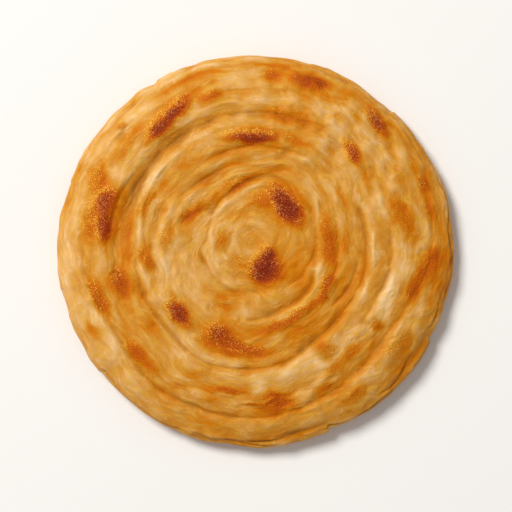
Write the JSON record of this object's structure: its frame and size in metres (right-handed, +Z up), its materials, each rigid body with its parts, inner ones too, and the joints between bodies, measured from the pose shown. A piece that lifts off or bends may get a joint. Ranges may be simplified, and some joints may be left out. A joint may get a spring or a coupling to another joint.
{
  "type": "paratha flatbread",
  "caption": "Round, thick layered flatbread coiled from one pleated strip of dough and pan-fried, with overlapping swirled folds on top, a rounded rim and a flat base.",
  "frame": {"origin": "middle of the flat base, on the surface the bread rests on", "axes": "+Z up through the bread's thickness; seen from above, the coil winds outward counter-clockwise and its tail ends 293 degrees counter-clockwise from +X"},
  "size_m": [0.1674, 0.1646, 0.017],
  "materials": {
    "fried_dough": "satin"
  },
  "bodies": {
    "root": {"paratha": "fried_dough"}
  },
  "joints": []
}
